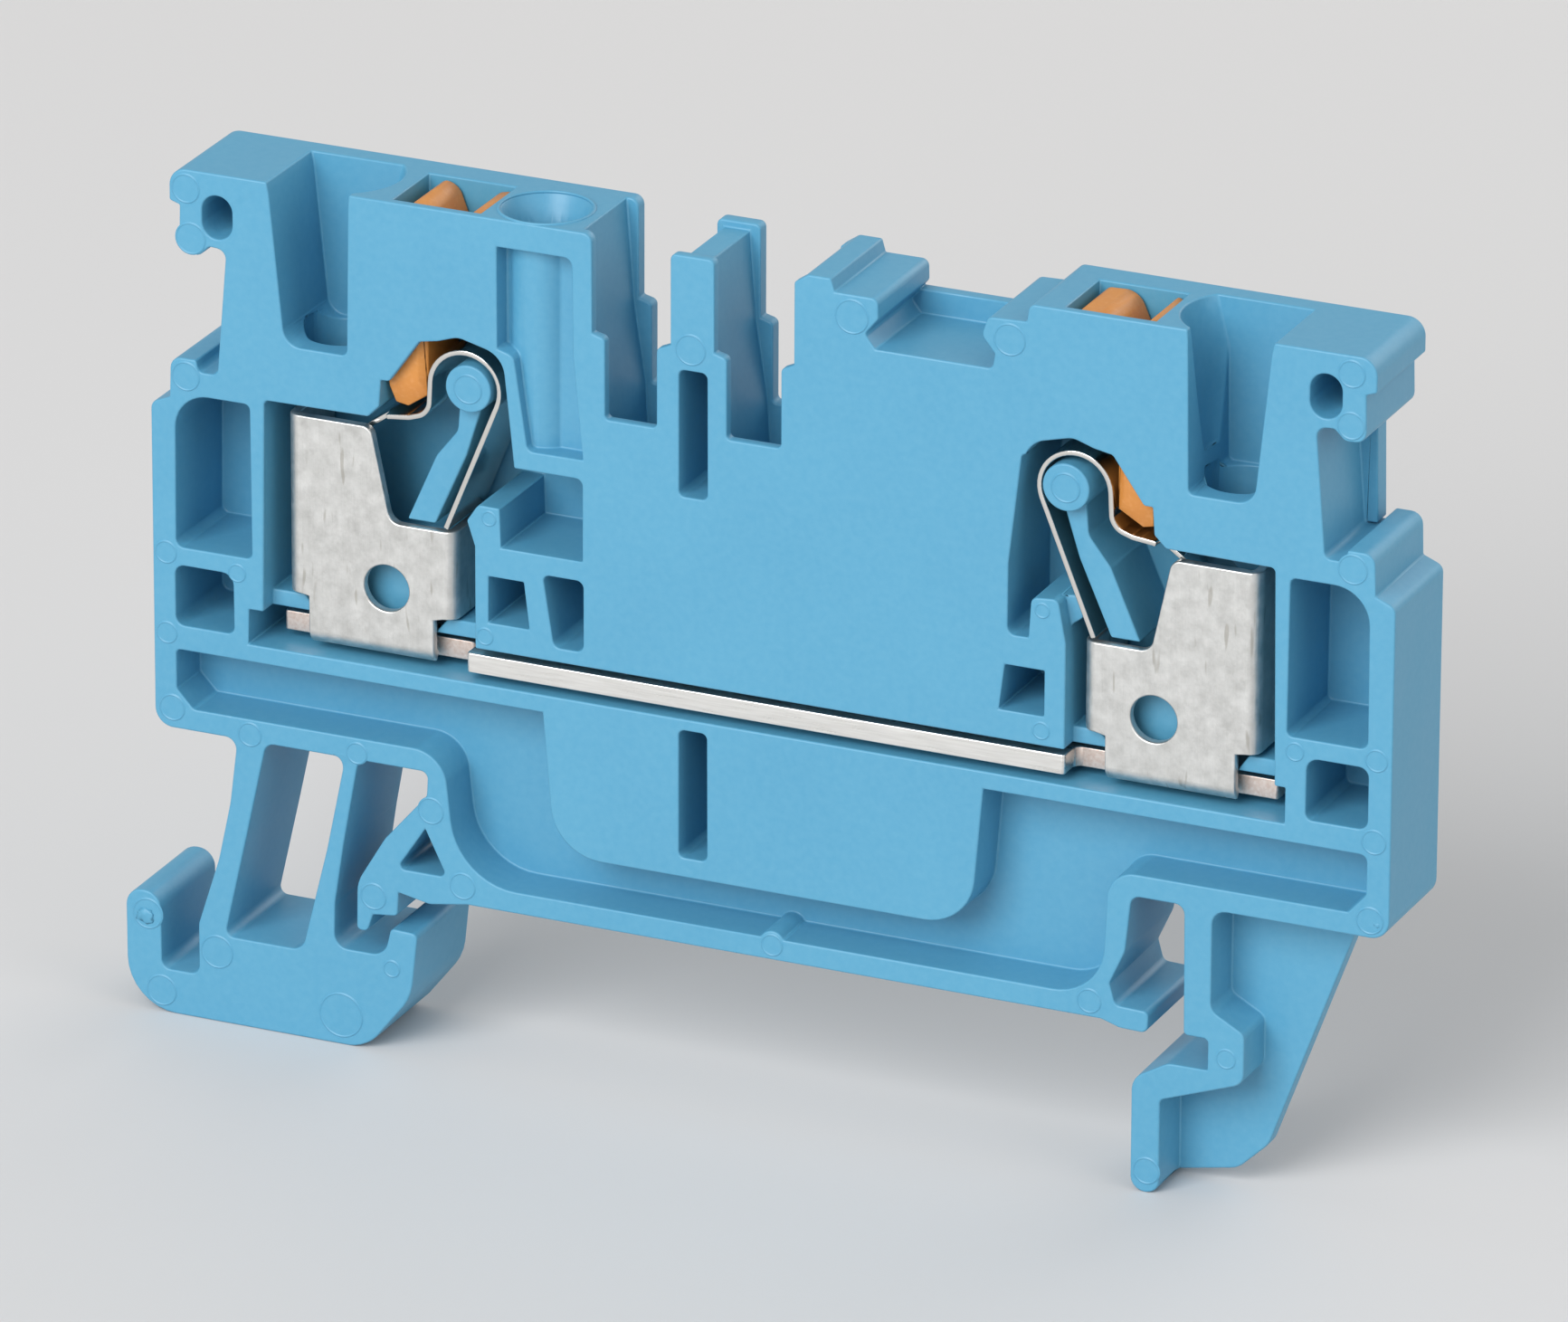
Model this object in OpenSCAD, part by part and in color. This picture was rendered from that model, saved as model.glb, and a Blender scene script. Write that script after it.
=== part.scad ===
// Feed-through terminal block for a 35 mm top-hat rail, one pole, push-in wire clamps.
//
// X runs along the block from the flexing rail foot to the fixed one, Y from the open side to
// the closed side, and Z up from the rail. The origin is the middle of the rail seat.
// All sizes are in millimetres.

/* [View] */

// sub-part to draw

/* [Block] */

// width of the block along the rail
block_w = 5.1; // [4:0.1:8]

// distance over the two side walls
body_len = 54; // [50:0.5:60]

// height of the top face above the soles of the feet
top_z = 36.9; // [34:0.1:40]

// height of the body's lower edge above the soles
body_z = 12.65; // [11:0.05:14]

// thickness of the closed wall at the back
back_wall = 0.85; // [0.6:0.05:1.5]

// thickness of the web in the middle of the trough
web_t = 0.8; // [0.6:0.05:1.5]

/* [Rail] */

// height of the rail seat above the soles
seat_z = 7.15; // [6:0.05:8]

// middle of the rail, right of the block's middle
rail_x = 1.65; // [0:0.05:3]

/* [Clamps] */

// distance from the middle to each spring's pin
pin_x = 12.95; // [12:0.05:14]

// height of the pins
pin_z = 29.4; // [28:0.05:31]

// radius of the pins
pin_r = 1; // [0.7:0.05:1.3]

// thickness of the spring strip
spring_t = 0.22; // [0.15:0.01:0.35]

// thickness of the cage's sheet
cage_t = 0.45; // [0.3:0.05:0.6]

// thickness of the busbar
bar_t = 0.85; // [0.6:0.05:1.5]

// radius of the hole a wire goes down
wire_r = 1.55; // [1.2:0.05:1.9]

// radius of the test plug's bore
test_r = 1.15; // [0.9:0.05:1.2]

/* [Hidden] */

half = body_len / 2;
inner_y = block_w - back_wall;
web_y = (block_w - web_t) / 2;
front = -1;
past = 1;

// front edge of the spring strip, and its width
spring_y = 0.45;
spring_w = 3.5;

// front face of the cages, and their depth
cage_y = 0.4;
cage_d = 3.75;

// the pushers' channels
push_y0 = 0.4;
push_y1 = 3.75;
push_gap = 0.1;

// top of the busbar's slot
slot_z = 18.4;

// floor of the wire funnels, where the wire holes and the round flares begin above it, and
// the flares' radius just above the block
funnel_z = 30.05;
wire_top_z = 30.56;
flare_z = 31.2;
flare_r = 2.75;

// middle of the wire holes and of the test bore
wire_x = 19.55;
wire_y = 2.45;
test_x = -10.3;
test_y = 2.05;

blue = [0.455, 0.714, 0.847];
orange = [0.878, 0.604, 0.314];
steel = [0.78, 0.78, 0.76];
spring_steel = [0.72, 0.72, 0.70];
tin = [0.84, 0.84, 0.83];

// ---- outlines ---------------------------------------------------------------------------

function unit(v) = v / norm(v);
function xy(p) = [p[0], p[1]];

// one corner of an outline, p[2] its radius, as an arc between its two neighbours
function corner(a, p, b, r) =
  r <= 0 ? [p] :
  let (
    u = unit(a - p),
    v = unit(b - p),
    h = acos(max(-1, min(1, u * v))) / 2,
    n = ceil((180 - 2 * h) / (r > 0.7 ? 9 : 18)),
    c = p + unit(u + v) * r / sin(h),
    s = p + u * r / tan(h) - c,
    e = p + v * r / tan(h) - c,
    a0 = atan2(s[1], s[0]),
    d = (atan2(e[1], e[0]) - a0 + 540) % 360 - 180
  )
  [for (i = [0:n]) c + r * [cos(a0 + d * i / n), sin(a0 + d * i / n)]];

// an outline whose corners [x, z, radius] are rounded
function rounded(pts) =
  let (k = len(pts))
  [for (i = [0:k - 1]) each corner(
    xy(pts[(i + k - 1) % k]), xy(pts[i]), xy(pts[(i + 1) % k]), pts[i][2])];

// an upright shape drawn in X and Z, as thick as y0 to y1
module slab(y0, y1) {
  translate([0, y1, 0])
    rotate([90, 0, 0])
      linear_extrude(y1 - y0)
        children();
}

module plate(pts, y0, y1) {
  slab(y0, y1)
    polygon(rounded(pts));
}

// the right-hand twin of a left-hand shape
module twin(side) {
  mirror([side < 0 ? 0 : 1, 0, 0])
    children();
}

// a cylinder along Y
module rod(x, z, r, y0, y1) {
  translate([x, y1, z])
    rotate([90, 0, 0])
      cylinder(h = y1 - y0, r = r, $fn = 48);
}

// from the soles' frame to the rail seat's
module seated() {
  translate([-rail_x, -block_w / 2, -seat_z])
    children();
}

// ---- housing ----------------------------------------------------------------------------

// half of the body's outline that is the same at both ends, from the funnel's ear down
end_outline = [
  [half - 0.95, top_z, 0.75],
  [half - 0.95, 35.5, 0],
  [half - 1.4, 35.35, 0],
  [half - 1.35, 33.35, 0.45],
  [24.75, 33.3, 0.4],
  [24.3, 33.75, 0.2],
  [23.55, 33.7, 0.4],
  [23.95, 28.9, 0],
  [24, 28.3, 0.3],
  [24.85, 28.3, 0.3],
  [24.95, 28.8, 0],
  [half - 0.9, 28.8, 0.5],
  [half - 0.85, 27.05, 0],
  [half, 26.7, 0.4],
  [half, body_z, 0.8]
];

// the top between the ears: test block, jumper channels and their T bar, marker seat
top_outline = [
  [-7.42, top_z, 0.4],
  [-7.42, 32.7, 0],
  [-6.85, 32.55, 0.25],
  [-6.85, 29.15, 0.2],
  [-4.6, 29.15, 0.2],
  [-4.6, 32.5, 0.2],
  [-4, 32.75, 0],
  [-4, 36.62, 0.25],
  [-2.1, 36.62, 0.25],
  [-2.1, 32.7, 0],
  [-1.55, 32.55, 0.25],
  [-1.55, 29.15, 0.2],
  [0.8, 29.15, 0.2],
  [0.8, 32.5, 0.2],
  [1.35, 32.75, 0],
  [1.35, 36.25, 0],
  [1.95, 36.65, 0.2],
  [2.92, 36.65, 0],
  [3.08, 36.1, 0],
  [4.95, 36.1, 0.3],
  [4.97, 35.25, 0.2],
  [4.4, 34.55, 0.2],
  [4.85, 33.97, 0],
  [9.85, 33.97, 0.2],
  [9.95, 34.6, 0.2],
  [9.38, 35.3, 0.35],
  [9.65, 36.1, 0.3],
  [11.3, 36.15, 0],
  [11.4, top_z, 0.3]
];

// the lower side, from the fixed foot round to the fixed claw
foot_outline = [
  [19.5, body_z, 0.6],
  [19.5, 8.35, 0.5],
  [20.95, 7.55, 0.4],
  [20.95, 5.4, 0.6],
  [17.38, 4.1, 0.25],
  [17.38, 0, 0.55],
  [16.15, 0, 0.6],
  [16.15, 4.85, 0.9],
  [17.7, 5.75, 0.6],
  [19.4, 5.75, 0],
  [19.4, 7.1, 0.2],
  [18.35, 7.1, 0.2],
  [18.3, body_z, 0.4],
  [16.05, body_z, 0.4],
  [15.8, 10.2, 1],
  [15.15, 8.75, 0.2],
  [15.4, 7.85, 0.3],
  [16.85, 7.8, 0.25],
  [16.8, 6.87, 0.3],
  [15.6, 6.9, 0.4],
  [14.8, seat_z, 0.4],
  [-13, seat_z, 0.4],
  [-14.7, 6.87, 0.5],
  [-16.1, 7.15, 0],
  [-16.15, 6.1, 0.2],
  [-17.25, 5.98, 0],
  [-17.5, 5.2, 0.25],
  [-17.98, 5.2, 0.2],
  [-17.95, 7.3, 1.6],
  [-16.7, 9.4, 1.2],
  [-14.8, 11.6, 0.4],
  [-14.75, body_z, 0.3]
];

module body_solid() {
  plate(concat(
    [for (i = [0:len(end_outline) - 1])
      let (p = end_outline[len(end_outline) - 1 - i])
      [-p[0], p[1], p[2]]],
    top_outline,
    end_outline,
    foot_outline), 0, block_w);
}

// the plain recess between the body and the rail seat
trough = [
  [-half + 1, 16.12, 0.2],
  [half - 1, 16.12, 0.3],
  [half - 1, 14.45, 0],
  [half - 1.75, 13.6, 0],
  [15.05, 13.6, 1.2],
  [14.8, 8.08, 2.2],
  [-13.45, 8.08, 2.9],
  [-14.05, 13.6, 1.5],
  [-half + 1.75, 13.6, 0.3],
  [-half + 1, 14.4, 0.2]
];

panel = [
  [-9.7, 17, 0],
  [-9.12, 10.05, 2.2],
  [9.12, 10.05, 2.2],
  [9.7, 17, 0]
];

module trough_cut() {
  difference() {
    union() {
      plate(trough, front, web_y);
      plate(trough, web_y + web_t, block_w + past);
    }
    plate(panel, front - past, block_w + 2 * past);
    // a stiffening bead along the seat
    rod(0.5, 7.85, 0.55, front, web_y + past);
  }
}

// the recess that holds a cage and its spring, drawn for the left end
module clamp_recess() {
  plate([
    [-22.05, 18.2, 0],
    [-21.92, 27.55, 0.2],
    [-17.3, 27.6, 0.2],
    [-16.8, 28.1, 0],
    [-16.72, 29.25, 0],
    [-16.35, 29.25, 0.2],
    [-15, 31.15, 0.2],
    [-14.2, 31.3, 0.5],
    [-13.3, 31.6, 0.8],
    [-11.35, 31.1, 1.1],
    [-11.1, 28.8, 0.3],
    [-10.85, 26.42, 0],
    [-11.4, 22.9, 0],
    [-12.6, 22.9, 0],
    [-12.6, 18.2, 0]
  ], front, inner_y);
}

// where the busbar lies, from end to end
module bar_slot() {
  plate([
    [-22.75, 16.88, 0],
    [-22.7, slot_z, 0],
    [22.5, slot_z, 0],
    [22.5, 16.88, 0]
  ], front, inner_y);
}

module funnel() {
  // the open front, narrowing downwards
  plate([
    [-21.95, top_z + past, 0],
    [-21.62, 36.4, 0],
    [-20.98, funnel_z, 0.8],
    [-18.22, funnel_z, 0.25],
    [-18.12, 36.4, 0],
    [-18, top_z + past, 0]
  ], front, inner_y - 0.1);
  // the flare at the mouth, round about the wire
  intersection() {
    translate([-wire_x, wire_y, flare_z])
      cylinder(h = top_z + past - flare_z, r1 = wire_r, r2 = flare_r, $fn = 64);
    translate([-20.9, 0, flare_z])
      cube([5, inner_y - 0.1, 9]);
  }
  // the wire's way down into the cage
  translate([-wire_x, wire_y, 26])
    cylinder(h = wire_top_z - 26, r = wire_r, $fn = 48);
}

module ear_hole() {
  slab(front, 3.6)
    union() {
      translate([-24.6, 34.8])
        square([1.34, 0.5]);
      for (z = [34.8, 35.3])
        translate([-23.93, z])
          circle(r = 0.67, $fn = 32);
    }
}

// the two blind pockets beside each cage
module end_pockets() {
  plate([
    [-half + 1.05, 20.6, 0.35],
    [-half + 1.1, 27.25, 1.5],
    [-22.58, 27.25, 0.25],
    [-22.54, 20.6, 0.25]
  ], front, inner_y);
  plate([
    [-half + 1, 17.2, 0.4],
    [-half + 1, 19.8, 0.4],
    [-23.4, 19.8, 0.5],
    [-23.38, 17.2, 0.3]
  ], front, inner_y);
}

// where a pusher slides: x0 and x1 bound its head, and the tip is at the outer side
module pusher_channel(x0, x1, side) {
  translate([x0, push_y0, 31.95])
    cube([x1 - x0, push_y1 - push_y0, 7]);
  twin(side)
    translate([-16.72, push_y0, 27.7])
      cube([2.5, push_y1 - push_y0, 6.5]);
}

module test_point() {
  translate([test_x, test_y, 31.4])
    cylinder(h = 6, r = test_r, $fn = 48);
  // the probe's tip reaches the spring through a smaller hole
  translate([test_x + 0.42, test_y, 26])
    cylinder(h = 6, r = 0.7, $fn = 32);
  translate([test_x, test_y, top_z - 1.5])
    cylinder(h = 1.52, r1 = test_r, r2 = 1.86, $fn = 48);
}

// the shallow field in front of the test point's tube
module test_field() {
  difference() {
    plate([
      [-11.58, 35.72, 0],
      [-8.3, 35.72, 0.35],
      [-8.25, 31.5, 0],
      [-7.82, 27.25, 0],
      [-10.25, 27.25, 0.3],
      [-10.85, 31.2, 0.4],
      [-11.58, 31.4, 0]
    ], front, 0.95);
    translate([test_x, test_y, 26])
      cylinder(h = 11, r = test_r + 0.4, $fn = 48);
  }
}

// slots that keep the moulding's walls even
module core_slots() {
  for (z = [[26.42, 31.78], [10.9, 16.4]])
    plate([
      [-3.62, z[0], 0.25],
      [-3.62, z[1], 0.25],
      [-2.4, z[1], 0.25],
      [-2.38, z[0], 0.25]
    ], front, 3.9);
}

// the two jumper channels widen behind their front lips, and the T bar between them is waisted
channel = [
  [-7.95, top_z + past, 0],
  [-7.95, top_z, 0],
  [-7.62, 32.5, 0],
  [-7.12, 29.2, 0],
  [-7, 27.2, 0],
  [-4.45, 27.2, 0],
  [-4.33, 29.2, 0],
  [-3.83, 32.5, 0],
  [-3.65, top_z, 0],
  [-3.65, top_z + past, 0]
];
channel_step = 5.35;

module jumper_channels() {
  lip = 0.5;
  depth = 3.95;
  for (i = [0:1])
    translate([i * channel_step, 0, 0])
      plate(channel, lip, lip + depth);
  translate([-4.5, lip, 36.32])
    cube([3, depth, 1]);
  // the jumper's legs go down these into the busbar
  for (i = [0:1])
    translate([-6.27 + i * channel_step, 1.2, 17.9])
      cube([1.1, 2.6, 12]);
}

module left_windows() {
  plate([
    [-11.7, 22.9, 0],
    [-11.7, 26.42, 0],
    [-7.85, 26.42, 0.3],
    [-7.85, 22.9, 0]
  ], front, inner_y);
  plate([
    [-12.02, 19.6, 0],
    [-12, 21.6, 0],
    [-10.45, 21.6, 0],
    [-10.2, 19.6, 0]
  ], front, inner_y);
  plate([
    [-9.12, 19.02, 0.35],
    [-9.6, 22.05, 0.25],
    [-7.82, 22.05, 0.3],
    [-7.82, 19.02, 0.3]
  ], front, inner_y);
}

module right_windows() {
  plate([
    [11.7, 22.9, 0],
    [11.7, 30.6, 0.3],
    [11.15, 30.6, 0.2],
    [10.62, 25.9, 0],
    [10.6, 22.9, 0.35]
  ], front, inner_y);
  plate([
    [10.25, 19.65, 0],
    [10.5, 21.6, 0],
    [12.2, 21.6, 0],
    [12.2, 19.65, 0]
  ], front, inner_y);
}

// post and rib that the left spring's resting leg lies along
module left_post() {
  plate([
    [-12.6, 22.8, 0],
    [-12.95, 23.85, 0],
    [-12.45, 24.6, 0.3],
    [-11.5, 24.58, 0],
    [-11.45, 22.8, 0]
  ], 0, inner_y + 0.1);
}

module right_post() {
  plate([
    [11.5, 22.8, 0],
    [11.6, 24.62, 0.3],
    [12.75, 24.72, 0.3],
    [13.1, 22.9, 0],
    [13.1, slot_z, 0],
    [12.4, slot_z, 0],
    [12.4, 22.8, 0]
  ], 0, inner_y + 0.1);
  plate([
    [12.3, 24.6, 0],
    [13.2, 24.7, 0.2],
    [13.6, 23.85, 0.3],
    [12.6, 23.1, 0]
  ], 0.8, inner_y + 0.1);
}

// pin and rib inside a spring's loop, drawn for the left end
module spring_pin() {
  rod(-pin_x, pin_z, pin_r, 0.2, inner_y + 0.1);
  plate([
    [-13.55, 29.3, 0],
    [-13.7, 27.3, 0.5],
    [-14.65, 26.1, 0.9],
    [-15.95, 23.15, 0],
    [-14.7, 23.15, 0],
    [-13.3, 26.3, 0.5],
    [-12.35, 29.3, 0]
  ], 0.8, inner_y + 0.1);
}

module housing() {
  color(blue)
    seated()
      difference() {
        union() {
          difference() {
            body_solid();
            trough_cut();
            for (side = [-1, 1])
              twin(side) {
                clamp_recess();
                funnel();
                ear_hole();
                end_pockets();
              }
            bar_slot();
            pusher_channel(-16.3, -12.45, -1);
            pusher_channel(12.8, 16.6, 1);
            left_windows();
            right_windows();
            test_field();
            core_slots();
          }
          left_post();
          right_post();
          for (side = [-1, 1])
            twin(side)
              spring_pin();
          // plate that carries the fixed foot's rib
          plate([
            [17, 0.2, 0],
            [19.9, 0.75, 1],
            [21.2, 2, 1],
            [25.1, body_z + 0.1, 0],
            [18.4, body_z + 0.1, 0],
            [18.9, 7.6, 0],
            [20, 6.5, 0],
            [17, 4.7, 0]
          ], web_y, web_y + web_t);
          // low wall behind the marker seat
          plate([
            [4, 33.5, 0],
            [4.3, 35, 0],
            [10, 35, 0],
            [10.3, 33.5, 0]
          ], 4.5, block_w);
          for (side = [-1, 1])
            twin(side) {
              // ribs under the cage's shoulders, and the block inside the cage
              plate([
                [-22.1, slot_z, 0],
                [-22.1, 19.1, 0],
                [-20.6, 19.1, 0.2],
                [-20.1, slot_z, 0]
              ], 0.9, inner_y + 0.1);
              plate([
                [-14.8, slot_z, 0],
                [-14.2, 19.1, 0.2],
                [-12.5, 19.1, 0],
                [-12.5, slot_z, 0]
              ], 0.9, inner_y + 0.1);
              plate([
                [-18.1, 18.7, 0],
                [-18.1, 21.5, 0.4],
                [-15.2, 21.5, 0.4],
                [-15.2, 18.7, 0]
              ], 1.5, inner_y + 0.1);
            }
          // thin wall behind each side notch
          for (side = [-1, 1])
            twin(side)
              plate([
                [-24.55, 28.4, 0],
                [-24.45, 33.9, 0],
                [-23.3, 33.9, 0],
                [-23.5, 28.4, 0]
              ], inner_y - 0.1, block_w);
        }
        test_point();
        jumper_channels();
        // hole through the gusset above the claw
        plate([
          [-16.15, 8.2, 0.2],
          [-14.88, 10.15, 0],
          [-13.92, 8.2, 0.2]
        ], front, block_w + past);
      }
}

// ---- metal parts ------------------------------------------------------------------------

module busbar() {
  color(tin)
    seated()
      difference() {
        union() {
          plate([
            [-13.05, 17.25, 0],
            [-13.05, 17.25 + bar_t, 0],
            [13.05, 17.25 + bar_t, 0],
            [13.05, 17.25, 0]
          ], 0.15, 4.1);
          translate([-21.7, 1.3, 17.27])
            cube([43.4, 2.1, bar_t - 0.04]);
        }
        // slots for a jumper's legs
        for (i = [0:1])
          translate([-6.22 + i * channel_step, 1.3, 17])
            cube([1, 2.4, 2]);
      }
}

// the front panel of a cage, tall at the outer side and low at the spring
cage_panel = [
  [-21.15, 19.3, 0.3],
  [-21.15, 27, 0],
  [-17.35, 27, 0.35],
  [-16.55, 23, 0.55],
  [-13.65, 23, 0],
  [-13.65, 19.25, 0.3],
  [-14.65, 19.1, 0],
  [-14.65, 17.35, 0],
  [-20.2, 17.35, 0],
  [-20.2, 19.2, 0]
];

module cage() {
  outer_x = -21.15;
  inner_x = -13.65;
  difference() {
    union() {
      plate(cage_panel, cage_y, cage_y + cage_t);
      // side walls
      translate([outer_x, cage_y + 0.1, 19.6])
        cube([cage_t, cage_d - 0.2, 7.3]);
      translate([inner_x - cage_t, cage_y + 0.1, 19.6])
        cube([cage_t, cage_d - 0.2, 3.35]);
    }
    rod(-16.72, 20.16, 1, 0, 2);
    // the two bends at the outer side are rounded
    for (x = [outer_x, inner_x])
      translate([x, cage_y, 23])
        rotate([0, 0, 45])
          cube([0.22, 0.22, 12], center = true);
  }
}

module left_cage() {
  color(steel)
    seated()
      cage();
}

module right_cage() {
  color(steel)
    seated()
      mirror([1, 0, 0])
        cage();
}

// radius and centre of the loop, which lies a little outward of the pin
loop_r = 1.52;
loop_x = pin_x + 0.28;
loop_z = pin_z - 0.12;

// angles on the loop where the two halves of a spring meet and where the leg leaves it
meet_a = 176;
leg_a = -22;

// points on the loop, from angle a to angle b
function loop(r, a, b, n = 14) =
  [for (i = [0:n]) [-loop_x + r * cos(a + (b - a) * i / n),
    loop_z + r * sin(a + (b - a) * i / n)]];

// a strip of constant thickness along a line of points
function side_of(p, i, d) =
  let (
    a = p[max(0, i - 1)],
    b = p[min(len(p) - 1, i + 1)],
    u = unit(b - a)
  )
  p[i] + d * [-u[1], u[0]];

function strip(p, t) = concat(
  [for (i = [0:len(p) - 1]) side_of(p, i, t / 2)],
  [for (i = [len(p) - 1:-1:0]) side_of(p, i, -t / 2)]);

// the loop and the leg that rests on the cage
module spring_leg() {
  path = concat(loop(loop_r, meet_a, leg_a), [[-14.09, 23.15]]);
  slab(spring_y, spring_y + spring_w)
    polygon(strip(path, spring_t));
}

// the arm that holds the wire: from the loop by a wave to its edge in the cage
arm_path = [
  [-14.75, 29.29, 0],
  [-14.82, 27.95, 0.7],
  [-15.7, 27.66, 0.5],
  [-16.7, 27.55, 0.6],
  [-17.55, 26.95, 1],
  [-20.3, 24.6, 0]
];

// the same path with its corners rounded, open at both ends
function open_path(p) =
  let (k = len(p))
  concat([xy(p[0])],
    [for (i = [1:k - 2]) each corner(xy(p[i - 1]), xy(p[i]), xy(p[i + 1]), p[i][2])],
    [xy(p[k - 1])]);

module clamp_arm() {
  tongue_x = -16.7;
  intersection() {
    slab(spring_y, spring_y + spring_w)
      polygon(strip(open_path(arm_path), spring_t));
    // the tongue inside the cage is narrower than the loop
    union() {
      translate([tongue_x, 0, 22])
        cube([5, block_w, 10]);
      translate([tongue_x - 5, cage_y + cage_t + 0.15, 22])
        cube([5.1, 2.5, 8]);
    }
  }
}

module left_spring_leg() {
  color(spring_steel)
    seated()
      spring_leg();
}

module right_spring_leg() {
  color(spring_steel)
    seated()
      mirror([1, 0, 0])
        spring_leg();
}

module left_clamp_arm() {
  color(spring_steel)
    seated()
      clamp_arm();
}

module right_clamp_arm() {
  color(spring_steel)
    seated()
      mirror([1, 0, 0])
        clamp_arm();
}

// ---- pushers ----------------------------------------------------------------------------

// the stem and its tip, drawn for the left end
pusher_tip = [
  [-16.6, 33.5, 0],
  [-14.95, 33.5, 0],
  [-14.95, 28.65, 0.35],
  [-15.95, 27.95, 0],
  [-16.45, 28.1, 0],
  [-16.6, 29.1, 0]
];

// head from x0 to x1 with two humps, and the screwdriver's slot from s0 to s1
module pusher(x0, x1, s0, s1, side) {
  y0 = push_y0 + push_gap;
  y1 = push_y1 - push_gap;
  twin(side)
    plate(pusher_tip, y0, y1);
  difference() {
    plate([
      [x0, 33.2, 0],
      [x0, 36.75, 0.8],
      [x1, 36.75, 0.6],
      [x1, 33.2, 0]
    ], y0, y1);
    plate([
      [s0 - 0.3, 37.5, 0],
      [s0, 34.9, 0.2],
      [s1, 34.9, 0.2],
      [s1 + 0.3, 37.5, 0]
    ], 0, block_w);
  }
}

module left_pusher() {
  color(orange)
    seated()
      pusher(-16.2, -12.55, -14.35, -13.8, -1);
}

module right_pusher() {
  color(orange)
    seated()
      pusher(12.9, 16.5, 15.2, 15.75, 1);
}

// ---- rail foot --------------------------------------------------------------------------

leg_cut_z = 5;

module rail_foot() {
  color(blue)
    seated()
      plate([
        [-28.42, 0, 2.2],
        [-28.45, 5.25, 0.75],
        [-26.87, 5.25, 0.75],
        [-26.85, 1.93, 0.4],
        [-25.15, 1.93, 0.4],
        [-25.15, 4.2, 0.5],
        [-24.93, leg_cut_z, 0],
        [-23.72, leg_cut_z, 0],
        [-23.95, 3.85, 0.35],
        [-20.45, 3.85, 0.6],
        [-20.08, leg_cut_z, 0],
        [-19, leg_cut_z, 0],
        [-19, 4.25, 0.6],
        [-16.75, 4.25, 0.7],
        [-16.45, 5.5, 0.2],
        [-15.25, 5.45, 0.25],
        [-15.55, 2.6, 2],
        [-17.6, 0, 1.6]
      ], 0, block_w);
}

module foot_outer_leg() {
  color(blue)
    seated()
      plate([
        [-24.93, leg_cut_z, 0],
        [-24.2, 7.2, 1.5],
        [-23.65, 9.8, 2],
        [-23.25, body_z - 0.5, 0.3],
        [-23.75, body_z, 0],
        [-21.6, body_z, 0],
        [-22, body_z - 0.4, 0.3],
        [-22.9, 8.5, 2],
        [-23.72, leg_cut_z, 0]
      ], 0, block_w);
}

module foot_inner_leg() {
  color(blue)
    seated()
      plate([
        [-20.08, leg_cut_z, 0],
        [-19.3, 8.5, 2],
        [-18.45, body_z - 0.6, 0.3],
        [-18.8, body_z, 0],
        [-17.45, body_z, 0],
        [-17.85, body_z - 0.4, 0.3],
        [-18.55, 8.8, 2],
        [-18.95, 6.2, 0.5],
        [-19, leg_cut_z, 0]
      ], 0, block_w);
}

housing();
busbar();
left_cage();
right_cage();
left_spring_leg();
right_spring_leg();
left_clamp_arm();
right_clamp_arm();
left_pusher();
right_pusher();
rail_foot();
foot_outer_leg();
foot_inner_leg();
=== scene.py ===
import math

import bmesh
import bpy
from mathutils import Matrix, Vector, noise


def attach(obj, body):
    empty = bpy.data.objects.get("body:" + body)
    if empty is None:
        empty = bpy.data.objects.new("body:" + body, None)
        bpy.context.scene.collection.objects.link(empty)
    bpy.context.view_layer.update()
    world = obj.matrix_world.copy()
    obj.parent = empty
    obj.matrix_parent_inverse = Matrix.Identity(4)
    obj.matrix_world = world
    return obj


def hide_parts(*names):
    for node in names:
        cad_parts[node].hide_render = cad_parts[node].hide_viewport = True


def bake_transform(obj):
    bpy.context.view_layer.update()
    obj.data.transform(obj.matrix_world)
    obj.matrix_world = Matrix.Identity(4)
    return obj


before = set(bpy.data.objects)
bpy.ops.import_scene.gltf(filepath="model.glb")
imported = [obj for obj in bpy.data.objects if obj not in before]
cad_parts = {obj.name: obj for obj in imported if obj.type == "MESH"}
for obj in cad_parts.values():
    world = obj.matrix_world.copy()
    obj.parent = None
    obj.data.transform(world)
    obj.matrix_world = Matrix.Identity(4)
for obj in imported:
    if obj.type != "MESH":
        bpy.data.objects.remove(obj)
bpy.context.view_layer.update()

scene = bpy.context.scene


# ---- camera -----------------------------------------------------------------------------
# A long lens half a metre in front of the block, a little to its right and above it, so that
# the open side shows with all its clamps and the top is seen at a slant.

camera_data = bpy.data.cameras.new("camera")
camera_data.sensor_width = 36
camera_data.lens = 332.196
camera_data.clip_start = 0.01
camera_data.clip_end = 10
camera = bpy.data.objects.new("camera", camera_data)
scene.collection.objects.link(camera)
scene.camera = camera

camera.location = (0.216821, -0.488955, 0.227988)
camera.rotation_euler = [math.radians(angle) for angle in (68.0259, -0.1936, 24.1691)]


# ---- table and light --------------------------------------------------------------------
# A sheet of pale laminate that runs out of sight, matt enough to hold only a soft shadow.
# One wide softbox stands in front, left of the camera. A side card and a back card are weaker,
# and the white walls of the room fill the rest.

def linear(colour):
    """An sRGB hex colour as the linear colour that a shader takes."""
    parts = [int(colour[i:i + 2], 16) / 255 for i in (1, 3, 5)]
    return [p / 12.92 if p <= 0.04045 else ((p + 0.055) / 1.055) ** 2.4 for p in parts] + [1]


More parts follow.
